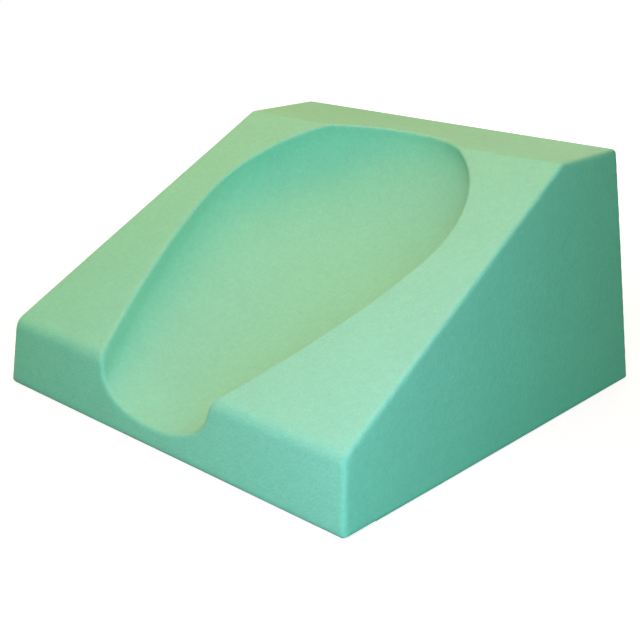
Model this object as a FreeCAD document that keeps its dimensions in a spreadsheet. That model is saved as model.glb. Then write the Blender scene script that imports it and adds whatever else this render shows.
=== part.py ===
import FreeCAD, Part
import math
import os
import Sketcher
from FreeCAD import Placement, Rotation, Vector

# A wedge-shaped head rest: a moulded foam block whose sloping top has a scoop for the head,
# deep and round at the high end and running out through the low front face as a neck channel.
# X is across the rest, Y runs from the neck (front) to the crown (back), Z is up, and the
# origin is at the middle of the underside.

SIZES = [
    ("overall_width", 352, "width across the underside"),
    ("overall_depth", 348, "depth from front to back at the underside"),
    ("front_height", 52, "height of the edge between front face and slope"),
    ("back_height", 187, "height of the flat ledge at the back"),
    ("ledge_depth", 78, "depth of the flat ledge"),
    ("draft_angle", 5.9, "lean of all four sides, in degrees"),
    ("skin_thickness", 1.2, "coated skin"),
    ("base_thickness", 1.6, "non-slip sheet under the core"),
    ("hem_width", 12, "skin turned under the core at its edge"),
    ("sheet_corner", 12, "corners of the base sheet"),
    ("seat_clearance", 0.3, "gap round a piece let into another"),
    ("scoop_shift", 6, "scoop's axis to the left of the middle at the front edge"),
    ("scoop_turn", 2.3, "scoop turned towards the right-hand side, in degrees"),
    ("neck_width", 114, "scoop across the front edge"),
    ("neck_depth", 36, "scoop below the slope at the front edge"),
    ("neck_wall", 12, "upright wall below the rim at the front edge"),
    ("bowl_width", 231, "scoop across its widest place"),
    ("bowl_depth", 60, "scoop below the slope at its deepest place"),
    ("bowl_distance", 183, "front edge to the middle of the bowl, up the slope"),
    ("bowl_wall", 6, "upright wall below the rim round the bowl"),
    ("front_radius", 12, "edge between front face and slope"),
    ("side_radius", 3, "upright corners, and edges between the top and the sides"),
    ("fold_radius", 4, "edge between slope and ledge"),
    ("ledge_radius", 5, "edge between ledge and back face"),
    ("hem_radius", 1.5, "lower edge of the skin"),
    ("rim_radius", 2, "rim of the scoop"),
    ("pad_width", 160, "across the soft head pad"),
    ("pad_thickness", 18, "head pad under the deepest place of the bowl"),
    ("pad_radius", 16, "lower edge of the head pad"),
    ("vent_spacing", 120, "between the two breather eyelets"),
    ("vent_height", 38, "eyelets above the underside"),
    ("flange_diameter", 15, "eyelet flange"),
    ("flange_thickness", 1.2, "eyelet flange"),
    ("barrel_diameter", 9, "eyelet barrel"),
    ("barrel_length", 9, "eyelet barrel inside the back face"),
    ("bore_diameter", 5.5, "eyelet bore"),
    ("screen_diameter", 7, "perforated disc in the eyelet"),
    ("screen_thickness", 0.8, "perforated disc in the eyelet"),
    ("screen_depth", 3, "disc below the back face"),
    ("screen_hole", 1.1, "perforations of the disc"),
    ("screen_pitch", 1.8, "perforations from the middle of the disc"),
    ("screen_clearance", 0.05, "round the disc in its seat"),
]
# How far cutting shapes run past what they cut.
OVERSHOOT = 40
# Sizes that outlines are drawn at before the sheet's sizes are bound to them.
DRAWN = 100
DRAWN_RADIUS = 5
# A short way past a face.
SHIFT = 5
# Points nearer than this lie on a face.
TOUCHING = 0.01


def fill_sheet(doc):
    sheet = doc.addObject("Spreadsheet::Sheet", "Sizes")
    for row, (alias, value, note) in enumerate(SIZES, start=1):
        sheet.set(f"A{row}", note)
        sheet.set(f"B{row}", str(value))
        sheet.setAlias(f"B{row}", alias)
    doc.recompute()
    return sheet


# Expressions worked out from the driving sizes.
LEAN = "tan(Sizes.draft_angle * 1 deg)"
RISE = "(Sizes.back_height - Sizes.front_height)"
FRONT_Y = f"(Sizes.overall_depth / 2 - Sizes.front_height * {LEAN})"
FOLD_Y = f"(Sizes.overall_depth / 2 - Sizes.back_height * {LEAN} - Sizes.ledge_depth)"
SLOPE = f"atan({RISE} / ({FRONT_Y} + {FOLD_Y}))"
SKIN_BOTTOM = "(Sizes.base_thickness - Sizes.skin_thickness)"


def plane(body, role):
    return next(item for item in body.Origin.OriginFeatures if item.Role == role)


def new_body(doc, name):
    return doc.addObject("PartDesign::Body", name)


def new_sketch(body, name, role, offset=None):
    """A sketch on one of the body's own planes, moved along the plane's normal."""
    sketch = body.newObject("Sketcher::SketchObject", name)
    sketch.AttachmentSupport = (plane(body, role), [""])
    sketch.MapMode = "FlatFace"
    if offset:
        sketch.setExpression("AttachmentOffset.Base.z", offset)
    return sketch


def bind(sketch, index, name, expression):
    sketch.renameConstraint(index, name)
    sketch.setExpression(f"Constraints.{name}", expression)


def polygon(sketch, points):
    """A closed outline of straight lines whose corners are joined."""
    corners = [Vector(across, up, 0) for across, up in points]
    for start, end in zip(corners, corners[1:] + corners[:1]):
        sketch.addGeometry(Part.LineSegment(start, end))
    for index in range(len(corners)):
        following = (index + 1) % len(corners)
        sketch.addConstraint(Sketcher.Constraint("Coincident", index, 2, following, 1))


def rectangle(sketch, width, depth):
    """A rectangle about the sketch's origin, with its two sizes bound."""
    edge = DRAWN / 2
    polygon(sketch, ((-edge, -edge), (edge, -edge), (edge, edge), (-edge, edge)))
    for line, direction in enumerate(("Horizontal", "Vertical", "Horizontal", "Vertical")):
        sketch.addConstraint(Sketcher.Constraint(direction, line))
    sketch.addConstraint(Sketcher.Constraint("Symmetric", 0, 1, 2, 1, -1, 1))
    across = sketch.addConstraint(Sketcher.Constraint("DistanceX", 0, 1, 0, 2, DRAWN))
    bind(sketch, across, "across", width)
    along = sketch.addConstraint(Sketcher.Constraint("DistanceY", 1, 1, 1, 2, DRAWN))
    bind(sketch, along, "along", depth)


def circle(sketch, diameter, across=0, up=0):
    """A circle in the sketch, with its diameter bound."""
    middle = Vector(across, up, 0)
    index = sketch.addGeometry(Part.Circle(middle, Vector(0, 0, 1), DRAWN_RADIUS))
    size = sketch.addConstraint(Sketcher.Constraint("Diameter", index, 2 * DRAWN_RADIUS))
    bind(sketch, size, "diameter", diameter)
    return index


def edges_where(shape, test):
    """Names of the edges whose middle point and direction pass the test."""
    names = []
    for index, edge in enumerate(shape.Edges, start=1):
        middle = edge.valueAt((edge.FirstParameter + edge.LastParameter) / 2)
        run = edge.Vertexes[-1].Point - edge.Vertexes[0].Point
        direction = run.normalize() if run.Length > 0.01 else Vector()
        if test(middle, direction):
            names.append(f"Edge{index}")
    return names


def round_edges(body, name, radius, test):
    """A fillet on the edges that pass the test, with its radius bound."""
    base = body.Tip
    fillet = body.newObject("PartDesign::Fillet", name)
    fillet.Base = (base, edges_where(base.Shape, test))
    fillet.setExpression("Radius", radius)
    body.Document.recompute()
    return fillet


def trough_section(body, name, share, inset):
    """One upright cross-section of the scoop: a half ellipse under two short upright walls.

    share runs from 0 at the front edge of the slope to 1 at the middle of the bowl.
    """
    swell = f"(1 - {1 - share} ^ 1.5)"
    half_width = (f"(Sizes.neck_width + (Sizes.bowl_width - Sizes.neck_width) * {swell}) / 2"
                  f" + {inset}")
    fall = f"(1 - {1 - share} ^ 2)"
    depth = f"Sizes.neck_depth + (Sizes.bowl_depth - Sizes.neck_depth) * {fall} + {inset}"
    wall = f"Sizes.neck_wall + (Sizes.bowl_wall - Sizes.neck_wall) * {share}"
    sketch = new_sketch(body, name, "XZ_Plane", f"-{share} * Sizes.bowl_distance")
    add_trough(sketch, half_width, depth, wall)
    return sketch


def add_trough(sketch, half_width, depth, wall):
    reach, drop, foot, top = DRAWN, DRAWN / 3, -DRAWN / 10, DRAWN / 2
    ellipse = Part.Ellipse(Vector(0, foot, 0), reach, drop)
    sketch.addGeometry(Part.ArcOfEllipse(ellipse, math.pi, 2 * math.pi))
    sketch.exposeInternalGeometry(0)
    first = sketch.GeometryCount
    corners = [Vector(reach, foot, 0), Vector(reach, top, 0),
               Vector(-reach, top, 0), Vector(-reach, foot, 0)]
    for start, end in zip(corners, corners[1:]):
        sketch.addGeometry(Part.LineSegment(start, end))
    right, lid, left = first, first + 1, first + 2
    for constraint in (
        Sketcher.Constraint("Coincident", 0, 2, right, 1),
        Sketcher.Constraint("Coincident", right, 2, lid, 1),
        Sketcher.Constraint("Coincident", lid, 2, left, 1),
        Sketcher.Constraint("Coincident", left, 2, 0, 1),
        Sketcher.Constraint("Coincident", 0, 1, 1, 2),
        Sketcher.Constraint("Coincident", 0, 2, 1, 1),
        Sketcher.Constraint("Horizontal", 1),
        Sketcher.Constraint("Horizontal", lid),
        Sketcher.Constraint("Vertical", right),
        Sketcher.Constraint("Vertical", left),
        Sketcher.Constraint("PointOnObject", 0, 3, -2),
    ):
        sketch.addConstraint(constraint)
    for constraint_name, constraint, expression in (
        ("wall", Sketcher.Constraint("DistanceY", 0, 3, -1, 1, -foot), wall),
        ("half_width", Sketcher.Constraint("DistanceX", 0, 3, 0, 2, reach), half_width),
        ("drop", Sketcher.Constraint("DistanceY", 2, 2, 0, 3, drop), f"{depth} - ({wall})"),
        ("top", Sketcher.Constraint("DistanceY", -1, 1, lid, 1, top), f"{OVERSHOOT}"),
    ):
        bind(sketch, sketch.addConstraint(constraint), constraint_name, expression)


def bowl_half(body, kind, name, sizes):
    """The back half of a round form about the bowl's axis, from the foot of its wall."""
    form = body.newObject(f"PartDesign::{kind}", name)
    form.AttachmentSupport = (plane(body, "XY_Plane"), [""])
    form.MapMode = "FlatFace"
    form.setExpression("AttachmentOffset.Base.y", "Sizes.bowl_distance")
    form.setExpression("AttachmentOffset.Base.z", "-Sizes.bowl_wall")
    for size, expression in sizes.items():
        form.setExpression(size, expression)
    body.Document.recompute()


def scoop_form(doc, name, inset):
    """The hollow of the head and neck as a solid, standing on the slope's front edge.

    Its Y axis runs up the slope, a little turned, and its Z axis stands square to it.
    """
    body = new_body(doc, name)
    shares = (-0.2, 0, 0.2, 0.4, 0.6, 0.8, 0.93, 1)
    sections = [trough_section(body, f"{name}_section_{number}", share, inset)
                for number, share in enumerate(shares)]
    doc.recompute()
    trough = body.newObject("PartDesign::AdditiveLoft", f"{name}_trough")
    trough.Profile = sections[0]
    trough.Sections = sections[1:]
    doc.recompute()
    radius = f"Sizes.bowl_width / 2 + {inset}"
    bowl_half(body, "AdditiveEllipsoid", f"{name}_bowl", {
        "Radius1": f"Sizes.bowl_depth + {inset} - Sizes.bowl_wall",
        "Radius2": radius,
        "Radius3": radius,
        "Angle1": "-90",
        "Angle2": "0",
        "Angle3": "180",
    })
    bowl_half(body, "AdditiveCylinder", f"{name}_wall", {
        "Radius": radius,
        "Height": f"Sizes.bowl_wall + {OVERSHOOT}",
        "Angle": "180",
    })
    stand_on_slope(body)
    doc.recompute()
    return body


def placement(x, y, z, axis, angle):
    """The expression of a placement: a point, and a turn about an axis through it."""
    point = f"create(<<vector>>; {x}; {y}; {z})"
    about = "create(<<vector>>; {}; {}; {})".format(*axis)
    return f"create(<<placement>>; {point}; create(<<rotation>>; {about}; {angle}))"


def stand_on_slope(body):
    """Puts a body's origin on the slope's front edge, with its Y axis along the scoop."""
    on_slope = placement("-Sizes.scoop_shift", f"-{FRONT_Y}", "Sizes.front_height",
                         (1, 0, 0), SLOPE)
    turned = placement(0, 0, 0, (0, 0, 1), "-Sizes.scoop_turn")
    body.setExpression("Placement", f"{on_slope} * {turned}")


def wedge_form(doc, name, inset, bottom):
    """The leaning-sided wedge without its scoop, every face moved in by inset."""
    body = new_body(doc, name)
    footprint = new_sketch(body, f"{name}_footprint", "XY_Plane", bottom)
    rectangle(footprint,
              f"Sizes.overall_width - 2 * ({bottom} * {LEAN} + {inset})",
              f"Sizes.overall_depth - 2 * ({bottom} * {LEAN} + {inset})")
    block = body.newObject("PartDesign::Pad", f"{name}_block")
    block.Profile = footprint
    block.setExpression("Length", f"Sizes.back_height - {inset} - {bottom}")
    block.setExpression("TaperAngle", "-Sizes.draft_angle * 1 deg")
    doc.recompute()
    waste = new_sketch(body, f"{name}_waste", "YZ_Plane")
    polygon(waste, ((-200, 20), (50, 150), (50, 230), (-200, 230)))
    for line, direction in ((1, "Vertical"), (2, "Horizontal"), (3, "Vertical")):
        waste.addConstraint(Sketcher.Constraint(direction, line))
    fold = f"{FOLD_Y} + {inset} * tan({SLOPE} / 2)"
    for constraint_name, constraint, expression in (
        ("fold_y", Sketcher.Constraint("DistanceX", -1, 1, 0, 2, 50), fold),
        ("fold_z", Sketcher.Constraint("DistanceY", -1, 1, 0, 2, 150),
         f"Sizes.back_height - {inset}"),
        ("front_y", Sketcher.Constraint("DistanceX", 0, 1, -1, 1, 200),
         f"Sizes.overall_depth / 2 + {OVERSHOOT}"),
        ("top_z", Sketcher.Constraint("DistanceY", -1, 1, 2, 1, 230),
         f"Sizes.back_height + {OVERSHOOT}"),
        ("slope", Sketcher.Constraint("Angle", 0, 0.5), SLOPE),
    ):
        bind(waste, waste.addConstraint(constraint), constraint_name, expression)
    slope = body.newObject("PartDesign::Pocket", f"{name}_slope")
    slope.Profile = waste
    slope.Type = "ThroughAll"
    slope.Midplane = True
    doc.recompute()
    return body


def lies_on(point, shape):
    return Part.Vertex(point).distToShape(shape.Shells[0])[0] < TOUCHING


def hollow_form(doc, name, inset, bottom):
    """The finished wedge with its scoop and rounded edges, every face moved in by inset."""
    scoop = scoop_form(doc, f"{name}_scoop", inset)
    body = wedge_form(doc, name, inset, bottom)
    top = doc.Sizes.back_height - 2 * doc.Sizes.ledge_radius
    low = doc.Sizes.base_thickness + doc.Sizes.hem_radius

    def runs_across(direction):
        return abs(direction.x) > 0.99

    round_edges(body, f"{name}_front_edge", f"Sizes.front_radius - {inset}",
                lambda at, way: runs_across(way) and low < at.z < top)
    round_edges(body, f"{name}_fold", f"Sizes.fold_radius - {inset}",
                lambda at, way: runs_across(way) and at.z > top
                and at.y < doc.Sizes.overall_depth / 4 + SHIFT)
    round_edges(body, f"{name}_ledge_edge", f"Sizes.ledge_radius - {inset}",
                lambda at, way: runs_across(way) and at.z > top
                and at.y > doc.Sizes.overall_depth / 4 + SHIFT)
    round_edges(body, f"{name}_sides", f"Sizes.side_radius - {inset}",
                lambda at, way: abs(way.x) < 0.3 and at.z > low)
    round_edges(body, f"{name}_hem", f"Sizes.hem_radius - {inset}",
                lambda at, way: at.z < low)
    wedge = body.Tip.Shape
    hollow = body.newObject("PartDesign::Boolean", f"{name}_hollow")
    hollow.Type = "Cut"
    hollow.setObjects([scoop])
    doc.recompute()
    round_edges(body, f"{name}_rim", f"Sizes.rim_radius - {inset}",
                lambda at, way: lies_on(at, wedge) and lies_on(at, scoop.Shape))
    return body


def slab(doc, name, inset, corner):
    """A flat sheet with round corners, on the ground, as thick as the base sheet."""
    body = new_body(doc, name)
    outline = new_sketch(body, f"{name}_outline", "XY_Plane")
    rectangle(outline, f"Sizes.overall_width - 2 * {inset}", f"Sizes.overall_depth - 2 * {inset}")
    sheet = body.newObject("PartDesign::Pad", f"{name}_pad")
    sheet.Profile = outline
    sheet.setExpression("Length", "Sizes.base_thickness")
    doc.recompute()
    round_edges(body, f"{name}_corners", corner, lambda at, way: abs(way.z) > 0.99)
    return body


def pad_form(doc):
    """A round plug square to the slope, reaching from the bowl's floor into the core."""
    body = new_body(doc, "pad_form")
    floor = "(Sizes.bowl_depth + Sizes.skin_thickness + Sizes.pad_thickness)"
    outline = new_sketch(body, "pad_outline", "XY_Plane", f"-{floor}")
    disc = circle(outline, "Sizes.pad_width", up=DRAWN)
    outline.addConstraint(Sketcher.Constraint("PointOnObject", disc, 3, -2))
    reach = outline.addConstraint(Sketcher.Constraint("DistanceY", -1, 1, disc, 3, DRAWN))
    bind(outline, reach, "distance", "Sizes.bowl_distance")
    plug = body.newObject("PartDesign::Pad", "pad_plug")
    plug.Profile = outline
    plug.setExpression("Length", f"{floor} + {OVERSHOOT}")
    doc.recompute()
    middle = plug.Shape.CenterOfMass.z
    round_edges(body, "pad_edge", "Sizes.pad_radius",
                lambda at, way: at.z < middle and way.Length < 0.5)
    stand_on_slope(body)
    doc.recompute()
    return body


def stand_on_back(item):
    """Puts an item's origin on the back face at the right-hand eyelet, Z axis outwards."""
    item.Placement = Placement(Vector(1, 1, 1), Rotation(Vector(1, 0, 0), -80))
    item.setExpression("Placement.Base.x", "Sizes.vent_spacing / 2")
    item.setExpression("Placement.Base.y",
                       f"Sizes.overall_depth / 2 - Sizes.vent_height * {LEAN}")
    item.setExpression("Placement.Base.z", "Sizes.vent_height")
    item.setExpression("Placement.Rotation.Angle", "-(90 - Sizes.draft_angle) * 1 deg")


def pair(doc, item, label):
    """The item and its mirror image on the left-hand side, as one sub-part."""
    twin = doc.addObject("Part::Mirroring", f"{item.Name}_left")
    twin.Source = item
    twin.Normal = Vector(1, 0, 0)
    both = doc.addObject("Part::Compound", f"{item.Name}_pair")
    both.Links = [item, twin]
    both.Label = label
    return both


def disc_feature(body, kind, name, diameter, length, offset=None, reverse=False):
    """A round pad or pocket about the body's Z axis."""
    outline = new_sketch(body, f"{name}_outline", "XY_Plane", offset)
    disc = circle(outline, diameter)
    outline.addConstraint(Sketcher.Constraint("Coincident", disc, 3, -1, 1))
    feature = body.newObject(f"PartDesign::{kind}", name)
    feature.Profile = outline
    feature.setExpression("Length", length)
    feature.Reversed = reverse
    body.Document.recompute()
    return feature


def eyelet(doc):
    """A flanged tube with a step inside for its perforated disc."""
    body = new_body(doc, "eyelet")
    disc_feature(body, "Pad", "flange", "Sizes.flange_diameter", "Sizes.flange_thickness")
    top = doc.Sizes.flange_thickness
    round_edges(body, "flange_edge", "Sizes.flange_thickness * 0.6",
                lambda at, way: at.z > top - TOUCHING)
    disc_feature(body, "Pad", "barrel", "Sizes.barrel_diameter", "Sizes.barrel_length",
                 reverse=True)
    disc_feature(body, "Pocket", "bore", "Sizes.bore_diameter",
                 "Sizes.flange_thickness + Sizes.barrel_length", "Sizes.flange_thickness")
    disc_feature(body, "Pocket", "seat", "Sizes.screen_diameter + 2 * Sizes.screen_clearance",
                 "Sizes.barrel_length - Sizes.screen_depth", "-Sizes.barrel_length", reverse=True)
    stand_on_back(body)
    return pair(doc, body, "vent_eyelets")


def screen(doc):
    """A disc with one hole in the middle and a ring of six."""
    body = new_body(doc, "screen")
    disc_feature(body, "Pad", "disc", "Sizes.screen_diameter", "Sizes.screen_thickness",
                 "-Sizes.screen_depth", reverse=True)
    disc_feature(body, "Pocket", "middle_hole", "Sizes.screen_hole", "Sizes.screen_thickness",
                 "-Sizes.screen_depth")
    outline = new_sketch(body, "ring_hole_outline", "XY_Plane", "-Sizes.screen_depth")
    hole = circle(outline, "Sizes.screen_hole", across=DRAWN_RADIUS)
    outline.addConstraint(Sketcher.Constraint("PointOnObject", hole, 3, -1))
    pitch = outline.addConstraint(Sketcher.Constraint("DistanceX", -1, 1, hole, 3, DRAWN_RADIUS))
    bind(outline, pitch, "pitch", "Sizes.screen_pitch")
    ring_hole = body.newObject("PartDesign::Pocket", "ring_hole")
    ring_hole.Profile = outline
    ring_hole.setExpression("Length", "Sizes.screen_thickness")
    doc.recompute()
    ring = body.newObject("PartDesign::PolarPattern", "hole_ring")
    ring.Originals = [ring_hole]
    ring.Axis = (outline, ["N_Axis"])
    ring.Angle = 360
    ring.Occurrences = 6
    body.Tip = ring
    stand_on_back(body)
    return pair(doc, body, "vent_screens")


def vent_sockets(doc):
    """Two round holes through the skin into the core, longer than the eyelets' barrels."""
    hole = new_body(doc, "socket")
    disc_feature(hole, "Pad", "socket_hole", "Sizes.barrel_diameter + 2 * Sizes.seat_clearance",
                 f"Sizes.barrel_length * 1.25 + {SHIFT}", f"{SHIFT}", reverse=True)
    stand_on_back(hole)
    return pair(doc, hole, "vent_sockets")


def difference(doc, label, base, tool):
    cut = doc.addObject("Part::Cut", label)
    cut.Base = base
    cut.Tool = tool
    cut.Label = label
    return cut


def build_parts(doc):
    filled = hollow_form(doc, "filled_form", "Sizes.skin_thickness", "Sizes.base_thickness")
    outer = hollow_form(doc, "outer_form", "0", SKIN_BOTTOM)
    plug = pad_form(doc)
    sockets = vent_sockets(doc)

    recessed = difference(doc, "recessed_form", filled, plug)
    foam_core = difference(doc, "foam_core", recessed, sockets)

    head_pad = doc.addObject("Part::MultiCommon", "head_pad")
    head_pad.Shapes = [filled, plug]

    opening = slab(doc, "sheet_opening", "Sizes.hem_width",
                   "Sizes.sheet_corner + Sizes.seat_clearance")
    inside = doc.addObject("Part::MultiFuse", "skin_inside")
    inside.Shapes = [filled, opening, sockets]
    top_skin = difference(doc, "top_skin", outer, inside)

    base_sheet = slab(doc, "base_sheet", "(Sizes.hem_width + Sizes.seat_clearance)",
                      "Sizes.sheet_corner")
    return [foam_core, head_pad, top_skin, base_sheet, eyelet(doc), screen(doc)]


def check(doc, parts):
    for item in doc.Objects:
        if {"Invalid", "Error"} & set(item.State):
            raise RuntimeError(f"{item.Name} was not made: {item.State}")
    for part in parts:
        if part.Shape.isNull() or not part.Shape.isValid():
            raise RuntimeError(f"{part.Label} has no valid shape")


def main():
    doc = FreeCAD.newDocument("HeadRest")
    fill_sheet(doc)
    parts = build_parts(doc)
    doc.recompute()
    check(doc, parts)
    os.makedirs("parts", exist_ok=True)
    for part in parts:
        part.Shape.exportStep(f"parts/{part.Label}.step")
        litres = part.Shape.Volume / 1e6
        print(f"{part.Label}: {len(part.Shape.Solids)} solids, {litres:.4f} litres")


main()
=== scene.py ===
import math

import bmesh
import bpy
from mathutils import Matrix, Vector, noise


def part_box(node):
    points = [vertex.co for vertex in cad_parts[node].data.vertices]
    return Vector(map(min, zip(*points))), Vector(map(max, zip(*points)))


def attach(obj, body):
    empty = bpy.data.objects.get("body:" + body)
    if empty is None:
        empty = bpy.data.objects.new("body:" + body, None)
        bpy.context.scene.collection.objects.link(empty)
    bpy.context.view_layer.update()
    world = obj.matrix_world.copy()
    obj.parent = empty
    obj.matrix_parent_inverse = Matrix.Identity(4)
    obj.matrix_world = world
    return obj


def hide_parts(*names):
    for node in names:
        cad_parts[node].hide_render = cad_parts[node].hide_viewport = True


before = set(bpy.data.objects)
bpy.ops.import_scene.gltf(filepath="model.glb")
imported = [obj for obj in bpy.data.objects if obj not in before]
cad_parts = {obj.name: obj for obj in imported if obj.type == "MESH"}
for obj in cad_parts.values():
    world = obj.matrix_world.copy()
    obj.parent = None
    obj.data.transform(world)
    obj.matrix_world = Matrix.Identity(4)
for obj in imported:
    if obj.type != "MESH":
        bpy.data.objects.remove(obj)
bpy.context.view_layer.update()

MM = 0.001

# The cover: a shell of coated skin whose lower edge is turned under the foam.
SKIN = 1.2 * MM
SKIN_VOXEL = 1.3 * MM
SKIN_SMOOTH_STEPS = 1
SKIN_KEPT = 0.16
SMOOTH_FACTOR = 0.5
FRONT_REACH = 90 * MM
FRONT_STEPS = 12
UNDULATION = 0.3 * MM
UNDULATION_SIZE = 0.11

# The opening under the skin: faces between these heights above the hem are taken out.
OPENING_LOW = SKIN / 2
OPENING_HIGH = 3 * SKIN
FACING_DOWN = -0.9

# The foam blocks inside the cover.
CORE_VOXEL = 4 * MM
PAD_VOXEL = 3 * MM
FOAM_SMOOTH_STEPS = 3
CORE_CELL = 1.1 * MM
PAD_CELL = 0.8 * MM

# The sheet under the core: low round studs on a thin plate with round corners.
STUD_PITCH = 9 * MM
STUD_RADIUS = 2.4 * MM
STUD_HEIGHT = 0.6 * MM
STUD_SIDES = 12
STUD_TAPER = 0.85
SHEET_CORNER = 12 * MM
CORNER_STEPS = 8
WELD = 0.01 * MM

# Pockets in the foam for the barrels of the eyelets.
BORE_RADIUS = 5.2 * MM
BORE_SPARE = 0.8 * MM
BORE_SIDES = 32

# Linear colours.
MINT = (0.21, 0.6, 0.4)
CORE_CREAM = (0.80, 0.72, 0.50)
PAD_WHITE = (0.82, 0.80, 0.72)
RUBBER_GREEN = (0.17, 0.33, 0.25)
NYLON_GREEN = (0.20, 0.42, 0.30)
NYLON_DARK = (0.05, 0.07, 0.06)
WHITE = (1, 1, 1, 1)

# The floor, in metres where it is a length: its grey as the camera sees it, its own
# glow by the block and far from it, and the grey that throws light back at the block.
FLOOR_HALF = 6
FLOOR_SEEN = (0.30, 0.30, 0.30)
FLOOR_GLOW_NEAR = 0.80
FLOOR_GLOW_FAR = 1.0
FLOOR_GLOW_REACH = 1.0
FLOOR_BOUNCE = (0.25, 0.25, 0.25)

# Studio lamps, all aimed at the block: place, size of the square, watts, colour.
LAMP_TARGET = (0, 0, 0.08)
LAMPS = (
    ("corner_high", (0.75, -0.8, 1.0), 0.6, 2.58, (0.0, 1.0, 0.02)),
    ("corner_low", (0.5, -0.55, 0.3), 0.3, 2.51, (0.18, 0.4, 1.0)),
    ("corner_mid", (0.85, -0.95, 0.5), 0.6, 1.99, (0.0, 1.0, 0.0)),
    ("front_left_high", (-0.5, -0.9, 0.9), 0.5, 2.13, (0.92, 1.0, 0.66)),
    ("front_low", (0.1, -0.8, 0.1), 0.25, 0.45, (0.58, 0.96, 1.0)),
    ("left", (-0.9, -0.4, 0.8), 0.6, 2.84, (0.58, 1.0, 0.45)),
    ("near_right_low", (0.35, -0.45, 0.45), 0.2, 2.72, (1.0, 0.28, 0.51)),
    ("over_back", (0.1, 0.4, 0.95), 0.5, 3.91, (1.0, 0.71, 0.47)),
    ("over_left", (-0.35, 0, 0.9), 0.4, 5.19, (1.0, 0.29, 0.23)),
    ("right_low", (0.8, -0.5, 0.12), 0.25, 1.68, (0.0, 1.0, 0.87)),
)
# Low lamps for the sides that face away from the camera.
BACK_LAMPS = (
    ("behind", (-0.5, 1.5, 0.26), 0.5, 9.0, (0.80, 1.0, 0.94)),
    ("behind_left", (-1.5, 0.3, 0.22), 0.4, 3.5, (0.80, 1.0, 0.94)),
)
AMBIENT = 0.02

# Angles in degrees, the lens and the sensor in millimetres, the rest in metres.
CAMERA_PLACE = Vector((0.5592, -0.6185, 0.3552))
CAMERA_AZIMUTH = 42.29
CAMERA_ELEVATION = 20.07
CAMERA_ROLL = 0.55
CAMERA_LENS = 63.51
CAMERA_SENSOR = 36
CAMERA_NEAR = 0.02
CAMERA_FAR = 30


def link(item):
    bpy.context.scene.collection.objects.link(item)
    return item


def mesh_object(name, mesh):
    mesh.name = name
    return link(bpy.data.objects.new(name, mesh))


def applied(item):
    """Works the item's modifiers into its mesh."""
    graph = bpy.context.evaluated_depsgraph_get()
    mesh = bpy.data.meshes.new_from_object(item.evaluated_get(graph))
    item.modifiers.clear()
    item.data = mesh


def joined_copy(name, *nodes):
    """One mesh made of copies of the CAD nodes' meshes."""
    form = bmesh.new()
    for node in nodes:
        form.from_mesh(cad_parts[node].data)
    mesh = bpy.data.meshes.new(name)
    form.to_mesh(mesh)
    form.free()
    return mesh_object(name, mesh)


def remeshed(item, voxel, smooth_steps):
    """Turns the item's mesh into one closed, even mesh of its outer surface."""
    remesh = item.modifiers.new("remesh", "REMESH")
    remesh.mode = "VOXEL"
    remesh.voxel_size = voxel
    smooth = item.modifiers.new("smooth", "SMOOTH")
    smooth.factor = SMOOTH_FACTOR
    smooth.iterations = smooth_steps
    applied(item)


def undulate(mesh, height, size):
    """Moves each point a little along its normal, so that no face is perfectly flat."""
    shifts = [vertex.normal * noise.noise(vertex.co / size) * height
              for vertex in mesh.vertices]
    for vertex, shift in zip(mesh.vertices, shifts):
        vertex.co += shift


def shade_smooth(item):
    for face in item.data.polygons:
        face.use_smooth = True


# ---- materials ---------------------------------------------------------------------------

def add_node(tree, kind, settings=None, inputs=None):
    """A new shader node, with its settings, and its inputs as sockets or as values."""
    item = tree.nodes.new(f"ShaderNode{kind}")
    for name, value in (settings or {}).items():
        setattr(item, name, value)
    for name, value in (inputs or {}).items():
        if isinstance(value, bpy.types.NodeSocket):
            tree.links.new(value, item.inputs[name])
        else:
            item.inputs[name].default_value = value
    return item


def new_material(name):
    """A new material: it, its node tree, its Principled shader and its place socket."""
    material = bpy.data.materials.new(name)
    material.use_nodes = True
    tree = material.node_tree
    shader = tree.nodes["Principled BSDF"]
    place = add_node(tree, "TexCoord").outputs["Object"]
    return material, tree, shader, place


def noise_at(tree, place, size, detail=2.0, roughness=0.5):
    """A noise whose features are about size metres across."""
    return add_node(tree, "TexNoise", inputs={
        "Vector": place, "Scale": 1 / size, "Detail": detail, "Roughness": roughness,
    }).outputs["Fac"]


def scaled(tree, value, low, high, from_low=0.3, from_high=0.7):
    """The value's range, from_low to from_high, spread over low to high."""
    return add_node(tree, "MapRange", inputs={
        "Value": value, "From Min": from_low, "From Max": from_high,
        "To Min": low, "To Max": high,
    }).outputs["Result"]


def tinted(tree, value, stops):
    """A colour ramp: stops are (position, colour) pairs."""
    ramp = add_node(tree, "ValToRGB", inputs={"Fac": value})
    elements = ramp.color_ramp.elements
    while len(elements) < len(stops):
        elements.new(0.5)
    for element, (position, colour) in zip(elements, stops):
        element.position = position
        element.color = (*colour, 1)
    return ramp.outputs["Color"]


def shade(colour, factor):
    return tuple(channel * factor for channel in colour)


def math_node(tree, operation, first, second):
    item = add_node(tree, "Math", {"operation": operation})
    for socket, value in zip(item.inputs, (first, second)):
        if isinstance(value, bpy.types.NodeSocket):
            tree.links.new(value, socket)
        else:
            socket.default_value = value
    return item.outputs["Value"]


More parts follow.
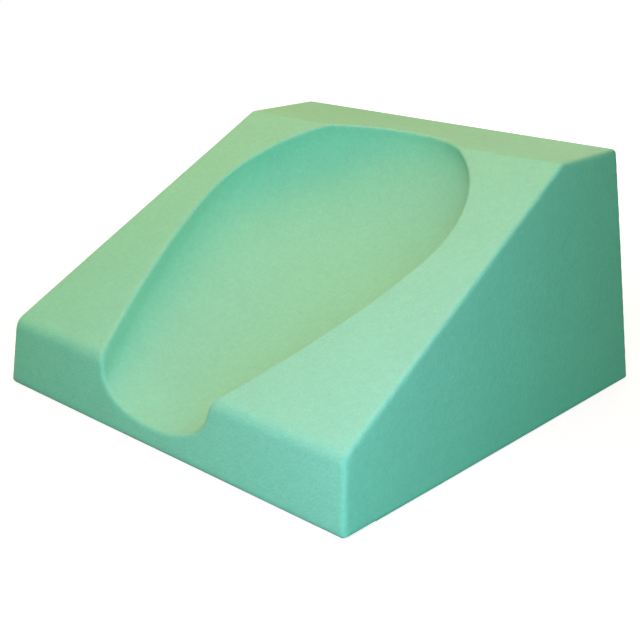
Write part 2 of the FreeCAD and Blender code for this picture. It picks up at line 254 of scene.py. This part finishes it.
def skin_material():
    """Matte coated foam skin: fine moulded grain, faint mottling, and a painted highlight
    that makes the edges a little paler.
    """
    material, tree, shader, place = new_material("coated_skin_mint")
    cloud = noise_at(tree, place, 0.035, detail=3)
    mottle = noise_at(tree, place, 5 * MM, detail=3)
    speckle = noise_at(tree, place, 1.4 * MM, detail=2)
    pebbles = add_node(tree, "TexVoronoi", {"feature": "SMOOTH_F1"}, {
        "Vector": place, "Scale": 1 / (2.0 * MM), "Smoothness": 0.6,
    }).outputs["Distance"]
    # Painted highlight: the pointiness below makes the colour paler along the edges.
    edge = add_node(tree, "NewGeometry").outputs["Pointiness"]
    tone = math_node(tree, "ADD", scaled(tree, cloud, -0.08, 0.08),
                     scaled(tree, speckle, 0.28, 0.72))
    tone = math_node(tree, "ADD", tone, scaled(tree, mottle, -0.12, 0.12))
    # Painted highlight: the tone is raised where the surface is pointy, so the edges come out
    # a little paler.
    tone = math_node(tree, "ADD", tone, scaled(tree, edge, -0.12, 0.12, 0.44, 0.56))
    colour = tinted(tree, tone, (
        (0.0, shade(MINT, 0.9)), (0.5, MINT), (1.0, shade(MINT, 1.1))))
    tree.links.new(colour, shader.inputs["Base Color"])
    tree.links.new(scaled(tree, cloud, 0.66, 0.78), shader.inputs["Roughness"])
    shader.inputs["Specular IOR Level"].default_value = 0.12
    shader.inputs["Sheen Weight"].default_value = 0.03
    shader.inputs["Sheen Roughness"].default_value = 0.5
    grain = math_node(tree, "ADD", math_node(tree, "MULTIPLY", speckle, 0.6),
                      math_node(tree, "MULTIPLY", pebbles, -0.6))
    fine = add_node(tree, "Bump", inputs={
        "Strength": 0.8, "Distance": 0.34 * MM, "Height": grain}).outputs["Normal"]
    soft = add_node(tree, "Bump", inputs={
        "Strength": 0.5, "Distance": 0.35 * MM, "Height": mottle, "Normal": fine})
    tree.links.new(soft.outputs["Normal"], shader.inputs["Normal"])
    return material


def foam_material(name, colour, cell):
    """Open-cell foam: pale walls, with painted shade that darkens the small pits between
    them.
    """
    material, tree, shader, place = new_material(name)
    cells = add_node(tree, "TexVoronoi", {"feature": "DISTANCE_TO_EDGE"}, {
        "Vector": place, "Scale": 1 / cell}).outputs["Distance"]
    cloud = noise_at(tree, place, 0.03, detail=3)
    # Painted shade: the colour darkens towards the middle of each cell, down in the pits.
    tone = math_node(tree, "ADD", scaled(tree, cells, 0.7, 0.2, 0.0, 0.35),
                     scaled(tree, cloud, -0.1, 0.1))
    tree.links.new(tinted(tree, tone, ((0.1, shade(colour, 0.6)), (0.8, colour))),
                   shader.inputs["Base Color"])
    tree.links.new(scaled(tree, cloud, 0.85, 0.95), shader.inputs["Roughness"])
    shader.inputs["Sheen Weight"].default_value = 0.2
    pits = add_node(tree, "Bump", inputs={
        "Strength": 0.7, "Distance": 0.4 * MM, "Height": tone})
    tree.links.new(pits.outputs["Normal"], shader.inputs["Normal"])
    return material


def moulded_material(name, colour, roughness):
    """Plain moulded rubber or nylon with a fine grain."""
    material, tree, shader, place = new_material(name)
    cloud = noise_at(tree, place, 0.012, detail=3)
    grain = noise_at(tree, place, 0.4 * MM, detail=2)
    tones = ((0.3, shade(colour, 0.85)), (0.7, shade(colour, 1.1)))
    tree.links.new(tinted(tree, cloud, tones), shader.inputs["Base Color"])
    tree.links.new(scaled(tree, grain, roughness - 0.08, roughness + 0.08),
                   shader.inputs["Roughness"])
    bump = add_node(tree, "Bump", inputs={
        "Strength": 0.4, "Distance": 0.05 * MM, "Height": grain})
    tree.links.new(bump.outputs["Normal"], shader.inputs["Normal"])
    return material


# ---- pieces ------------------------------------------------------------------------------

def cover_skin():
    """The coated skin as a shell, standing for the CAD skin."""
    item = joined_copy("cover_skin", "top_skin", "foam_core", "head_pad")
    remeshed(item, SKIN_VOXEL, SKIN_SMOOTH_STEPS)
    soften_front(item)
    undulate(item.data, UNDULATION, UNDULATION_SIZE)
    open_underside(item.data)
    thin = item.modifiers.new("thin", "DECIMATE")
    thin.ratio = SKIN_KEPT
    shell = item.modifiers.new("shell", "SOLIDIFY")
    shell.thickness = SKIN
    shell.offset = -1
    shell.use_even_offset = False
    applied(item)
    shade_smooth(item)
    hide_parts("top_skin")
    return item


def soften_front(item):
    """Rounds the edges more and more towards the front face."""
    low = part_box("top_skin")[0]
    group = item.vertex_groups.new(name="front")
    for vertex in item.data.vertices:
        weight = 1 - (vertex.co.y - low.y) / FRONT_REACH
        if weight > 0:
            group.add([vertex.index], min(1, weight), "REPLACE")
    smooth = item.modifiers.new("front", "SMOOTH")
    smooth.factor = SMOOTH_FACTOR
    smooth.iterations = FRONT_STEPS
    smooth.vertex_group = group.name
    applied(item)
    item.vertex_groups.clear()


def inside_sheet(place, centre, half):
    """Whether the place is within the base sheet's outline, with its round corners."""
    past_x = max(abs(place.x - centre.x) - half.x + SHEET_CORNER, 0)
    past_y = max(abs(place.y - centre.y) - half.y + SHEET_CORNER, 0)
    return math.hypot(past_x, past_y) < SHEET_CORNER


def open_underside(mesh):
    """Levels the turned-under hem and opens the skin inside it, along one clean edge."""
    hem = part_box("top_skin")[0].z
    low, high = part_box("base_sheet")
    centre, half = (low + high) / 2, (high - low) / 2
    form = bmesh.new()
    form.from_mesh(mesh)
    for vertex in form.verts:
        if vertex.co.z < hem + OPENING_LOW and vertex.normal.z < FACING_DOWN:
            vertex.co.z = hem
        vertex.co.z = max(vertex.co.z, hem)
    under = []
    for face in form.faces:
        middle = face.calc_center_median()
        if (hem + OPENING_LOW < middle.z < hem + OPENING_HIGH
                and inside_sheet(middle, centre, half)):
            under.append(face)
    while under:
        bmesh.ops.delete(form, geom=under, context="FACES")
        # Where two edges of the opening meet at one point, the faces there go too.
        under = list(dict.fromkeys(
            face for vertex in form.verts
            if sum(edge.is_boundary for edge in vertex.link_edges) > 2
            for face in vertex.link_faces))
    drop_islands(form)
    form.to_mesh(mesh)
    form.free()


def drop_islands(form):
    """Keeps only the connected piece that has the most faces."""
    seen = set()
    pieces = []
    for start in form.faces:
        if start in seen:
            continue
        seen.add(start)
        piece = [start]
        for face in piece:
            for edge in face.edges:
                for near in edge.link_faces:
                    if near not in seen:
                        seen.add(near)
                        piece.append(near)
        pieces.append(piece)
    pieces.sort(key=len)
    for piece in pieces[:-1]:
        bmesh.ops.delete(form, geom=piece, context="FACES")


def ring(form, middle, height, radius, square):
    """Points round the middle: on a circle, or on the square outline that encloses it."""
    points = []
    for step in range(STUD_SIDES):
        # The first point lies on the square's diagonal.
        angle = math.tau * (step / STUD_SIDES + 1 / 8)
        across, along = math.cos(angle), math.sin(angle)
        reach = radius / max(abs(across), abs(along)) if square else radius
        place = (middle[0] + across * reach, middle[1] + along * reach, height)
        points.append(form.verts.new(place))
    return points


def rounded_outline(size_x, size_y, radius):
    """A rectangle with round corners, about the origin."""
    for turn, (sign_x, sign_y) in enumerate(((1, 1), (-1, 1), (-1, -1), (1, -1))):
        for step in range(CORNER_STEPS + 1):
            angle = math.radians(90 * (turn + step / CORNER_STEPS))
            yield (sign_x * (size_x / 2 - radius) + radius * math.cos(angle),
                   sign_y * (size_y / 2 - radius) + radius * math.sin(angle))


def studded_sheet():
    """The non-slip sheet: a thin plate with rows of low tapered studs under it."""
    low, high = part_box("base_sheet")
    middle, size = (low + high) / 2, high - low
    plate = low.z + STUD_HEIGHT
    columns = int((size.x - 2 * SHEET_CORNER) / STUD_PITCH)
    rows = int((size.y - 2 * SHEET_CORNER) / STUD_PITCH)
    form = bmesh.new()
    for column in range(columns):
        for row in range(rows):
            place = (middle.x + (column - (columns - 1) / 2) * STUD_PITCH,
                     middle.y + (row - (rows - 1) / 2) * STUD_PITCH)
            cell = ring(form, place, plate, STUD_PITCH / 2, True)
            root = ring(form, place, plate, STUD_RADIUS, False)
            tip = ring(form, place, low.z, STUD_RADIUS * STUD_TAPER, False)
            for outer, inner in ((cell, root), (root, tip)):
                for number in range(STUD_SIDES):
                    form.faces.new((outer[number - 1], outer[number],
                                    inner[number], inner[number - 1]))
            form.faces.new(tip)
    bmesh.ops.remove_doubles(form, verts=form.verts, dist=WELD)
    grid_edges = [edge for edge in form.edges if edge.is_boundary]
    outline = [form.verts.new((middle.x + x, middle.y + y, plate))
               for x, y in rounded_outline(size.x, size.y, SHEET_CORNER)]
    edges = [form.edges.new(pair) for pair in zip(outline, outline[1:] + outline[:1])]
    bmesh.ops.triangle_fill(form, use_beauty=True, edges=grid_edges + edges)
    raised = bmesh.ops.extrude_edge_only(form, edges=edges)["geom"]
    top = {part for part in raised if isinstance(part, bmesh.types.BMVert)}
    for vertex in top:
        vertex.co.z = high.z
    top_edges = [part for part in raised
                 if isinstance(part, bmesh.types.BMEdge) and top.issuperset(part.verts)]
    bmesh.ops.edgenet_fill(form, edges=top_edges)
    bmesh.ops.recalc_face_normals(form, faces=form.faces)
    mesh = bpy.data.meshes.new("studded_sheet")
    form.to_mesh(mesh)
    form.free()
    item = mesh_object("studded_sheet", mesh)
    item.data.materials.append(moulded_material("base_rubber_green", RUBBER_GREEN, 0.7))
    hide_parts("base_sheet")
    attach(item, "root")


def bore_for_eyelets(item):
    """Opens round pockets in the foam for the eyelets' barrels."""
    low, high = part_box("vent_eyelets")
    flange = (high.z - low.z) / 2
    for place in (low.x + flange, high.x - flange):
        form = bmesh.new()
        bmesh.ops.create_cone(form, cap_ends=True, segments=BORE_SIDES, radius1=BORE_RADIUS,
                              radius2=BORE_RADIUS, depth=4 * flange)
        mesh = bpy.data.meshes.new("bore")
        form.to_mesh(mesh)
        form.free()
        cutter = mesh_object("bore", mesh)
        cutter.matrix_world = (
            Matrix.Translation((place, low.y + 2 * flange - BORE_SPARE, (low.z + high.z) / 2))
            @ Matrix.Rotation(math.radians(90), 4, "X"))
        cut = item.modifiers.new("bore", "BOOLEAN")
        cut.operation = "DIFFERENCE"
        cut.object = cutter
        bpy.context.view_layer.update()
        applied(item)
        bpy.data.objects.remove(cutter)


def foam_piece(name, node, material, voxel):
    """A foam block inside the cover, softened a little from its CAD solid."""
    item = joined_copy(name, node)
    remeshed(item, voxel, FOAM_SMOOTH_STEPS)
    if node == "foam_core":
        bore_for_eyelets(item)
    shade_smooth(item)
    item.data.materials.append(material)
    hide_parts(node)
    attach(item, "root")


def floor_material():
    """Near white to the eye, but throws little light back up at the object's sides."""
    material, tree, shader, place = new_material("floor_pale")
    tree.nodes.remove(shader)
    lit = add_node(tree, "BsdfDiffuse", inputs={"Color": (*FLOOR_SEEN, 1)}).outputs["BSDF"]
    nearness = add_node(tree, "TexGradient", {"gradient_type": "SPHERICAL"}, {
        "Vector": add_node(tree, "Mapping", inputs={
            "Vector": place, "Scale": (1 / FLOOR_GLOW_REACH,) * 3}).outputs["Vector"],
    }).outputs["Fac"]
    glow = add_node(tree, "Emission", inputs={
        "Strength": scaled(tree, nearness, FLOOR_GLOW_FAR, FLOOR_GLOW_NEAR, 0.2, 0.7),
    }).outputs["Emission"]
    seen = add_node(tree, "AddShader")
    tree.links.new(lit, seen.inputs[0])
    tree.links.new(glow, seen.inputs[1])
    bounced = add_node(tree, "BsdfDiffuse", inputs={"Color": (*FLOOR_BOUNCE, 1)})
    rays = add_node(tree, "LightPath").outputs["Is Camera Ray"]
    mixed = add_node(tree, "MixShader", inputs={"Fac": rays})
    tree.links.new(bounced.outputs["BSDF"], mixed.inputs[1])
    tree.links.new(seen.outputs["Shader"], mixed.inputs[2])
    tree.links.new(mixed.outputs["Shader"], tree.nodes["Material Output"].inputs["Surface"])
    return material


def stage_floor():
    mesh = bpy.data.meshes.new("floor")
    form = bmesh.new()
    bmesh.ops.create_grid(form, x_segments=1, y_segments=1, size=FLOOR_HALF)
    form.to_mesh(mesh)
    form.free()
    floor = mesh_object("floor", mesh)
    floor.data.materials.append(floor_material())


def area_light(name, place, size, power, colour):
    data = bpy.data.lights.new(name, "AREA")
    data.shape = "SQUARE"
    data.size = size
    data.energy = power
    data.color = colour
    lamp = link(bpy.data.objects.new(name, data))
    lamp.location = place
    lamp.visible_camera = False
    away = Vector(place) - Vector(LAMP_TARGET)
    lamp.rotation_euler = away.to_track_quat("Z", "Y").to_euler()


def studio():
    """Lamps round the block, and a white surround that adds only a little light."""
    world = bpy.data.worlds.new("studio")
    bpy.context.scene.world = world
    world.use_nodes = True
    tree = world.node_tree
    dim = tree.nodes["Background"]
    dim.inputs["Color"].default_value = WHITE
    dim.inputs["Strength"].default_value = AMBIENT
    white = add_node(tree, "Background", inputs={"Color": WHITE, "Strength": 1.0})
    mixed = add_node(tree, "MixShader", inputs={
        "Fac": add_node(tree, "LightPath").outputs["Is Camera Ray"]})
    tree.links.new(dim.outputs["Background"], mixed.inputs[1])
    tree.links.new(white.outputs["Background"], mixed.inputs[2])
    tree.links.new(mixed.outputs["Shader"], tree.nodes["World Output"].inputs["Surface"])
    for name, place, size, power, colour in LAMPS + BACK_LAMPS:
        area_light(name, place, size, power, colour)


def camera():
    data = bpy.data.cameras.new("camera")
    data.sensor_width = CAMERA_SENSOR
    data.lens = CAMERA_LENS
    data.clip_start = CAMERA_NEAR
    data.clip_end = CAMERA_FAR
    item = link(bpy.data.objects.new("camera", data))
    turn = (Matrix.Rotation(math.radians(CAMERA_AZIMUTH), 4, "Z")
            @ Matrix.Rotation(math.radians(90 - CAMERA_ELEVATION), 4, "X")
            @ Matrix.Rotation(math.radians(CAMERA_ROLL), 4, "Z"))
    item.matrix_world = Matrix.Translation(CAMERA_PLACE) @ turn
    bpy.context.scene.camera = item


def main():
    bpy.context.scene.view_settings.view_transform = "Standard"
    camera()
    studio()
    stage_floor()
    skin = cover_skin()
    skin.data.materials.append(skin_material())
    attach(skin, "root")
    foam_piece("moulded_core", "foam_core",
               foam_material("core_foam_cream", CORE_CREAM, CORE_CELL), CORE_VOXEL)
    foam_piece("soft_head_pad", "head_pad",
               foam_material("soft_foam_white", PAD_WHITE, PAD_CELL), PAD_VOXEL)
    studded_sheet()
    for node, material in (
        ("vent_eyelets", moulded_material("eyelet_nylon_green", NYLON_GREEN, 0.4)),
        ("vent_screens", moulded_material("screen_nylon_dark", NYLON_DARK, 0.5)),
    ):
        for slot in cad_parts[node].material_slots:
            slot.material = material


main()
